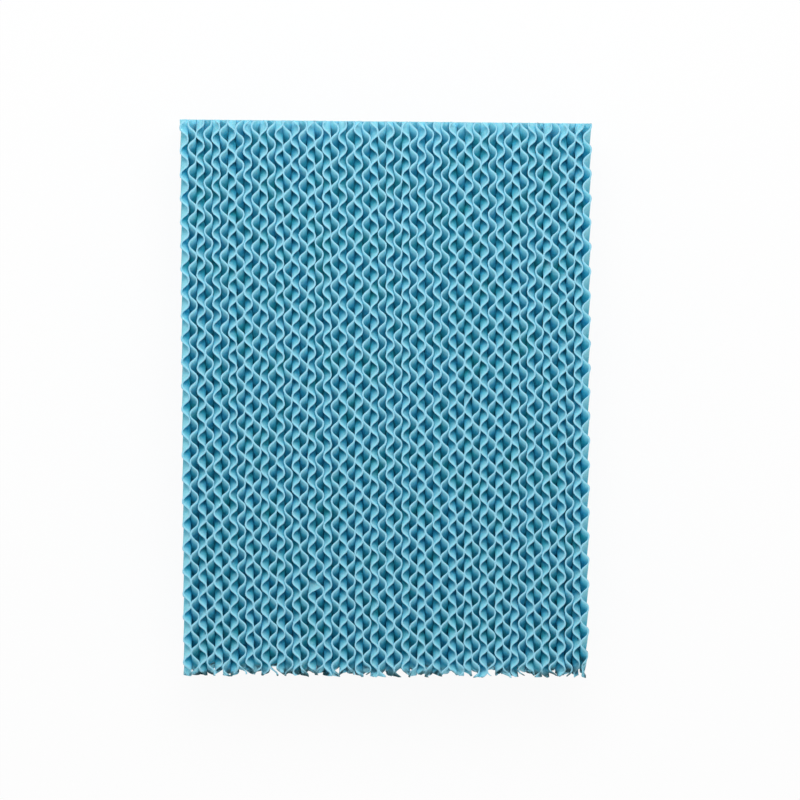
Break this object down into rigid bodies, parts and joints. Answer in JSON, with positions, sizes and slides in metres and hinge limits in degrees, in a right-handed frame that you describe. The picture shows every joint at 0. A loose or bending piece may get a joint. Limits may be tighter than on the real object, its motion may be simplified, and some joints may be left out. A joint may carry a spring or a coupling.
{
  "type": "evaporative cooling pad",
  "caption": "Evaporative cooling pad: a block of corrugated, resin-stiffened blue paper sheets glued crest to crest with crossing flutes, for air to pass through wet paper.",
  "frame": {"origin": "middle of the back face, on the floor the pad lies on", "axes": "X across the sheets, Y along the pad's height with its upper end at +Y, Z through the depth with the front face up"},
  "size_m": [0.364, 0.5014, 0.1],
  "materials": {
    "blue_paper": "matt, dyed and resin-stiffened paper with paler sawn edges"
  },
  "bodies": {
    "root": {"fluted_sheet_01": "blue_paper", "fluted_sheet_02": "blue_paper", "fluted_sheet_03": "blue_paper", "fluted_sheet_04": "blue_paper", "fluted_sheet_05": "blue_paper", "fluted_sheet_06": "blue_paper", "fluted_sheet_07": "blue_paper", "fluted_sheet_08": "blue_paper", "fluted_sheet_09": "blue_paper", "fluted_sheet_10": "blue_paper", "fluted_sheet_11": "blue_paper", "fluted_sheet_12": "blue_paper", "fluted_sheet_13": "blue_paper", "fluted_sheet_14": "blue_paper", "fluted_sheet_15": "blue_paper", "fluted_sheet_16": "blue_paper", "fluted_sheet_17": "blue_paper", "fluted_sheet_18": "blue_paper", "fluted_sheet_19": "blue_paper", "fluted_sheet_20": "blue_paper", "fluted_sheet_21": "blue_paper", "fluted_sheet_22": "blue_paper", "fluted_sheet_23": "blue_paper", "fluted_sheet_24": "blue_paper", "fluted_sheet_25": "blue_paper", "fluted_sheet_26": "blue_paper", "fluted_sheet_27": "blue_paper", "fluted_sheet_28": "blue_paper", "fluted_sheet_29": "blue_paper", "fluted_sheet_30": "blue_paper", "fluted_sheet_31": "blue_paper", "fluted_sheet_32": "blue_paper", "fluted_sheet_33": "blue_paper", "fluted_sheet_34": "blue_paper", "fluted_sheet_35": "blue_paper", "fluted_sheet_36": "blue_paper", "fluted_sheet_37": "blue_paper", "fluted_sheet_38": "blue_paper", "fluted_sheet_39": "blue_paper", "fluted_sheet_40": "blue_paper", "fluted_sheet_41": "blue_paper", "fluted_sheet_42": "blue_paper", "fluted_sheet_43": "blue_paper", "fluted_sheet_44": "blue_paper", "fluted_sheet_45": "blue_paper", "fluted_sheet_46": "blue_paper", "fluted_sheet_47": "blue_paper", "fluted_sheet_48": "blue_paper", "fluted_sheet_49": "blue_paper", "fluted_sheet_50": "blue_paper", "fluted_sheet_51": "blue_paper", "fluted_sheet_52": "blue_paper"}
  },
  "joints": []
}
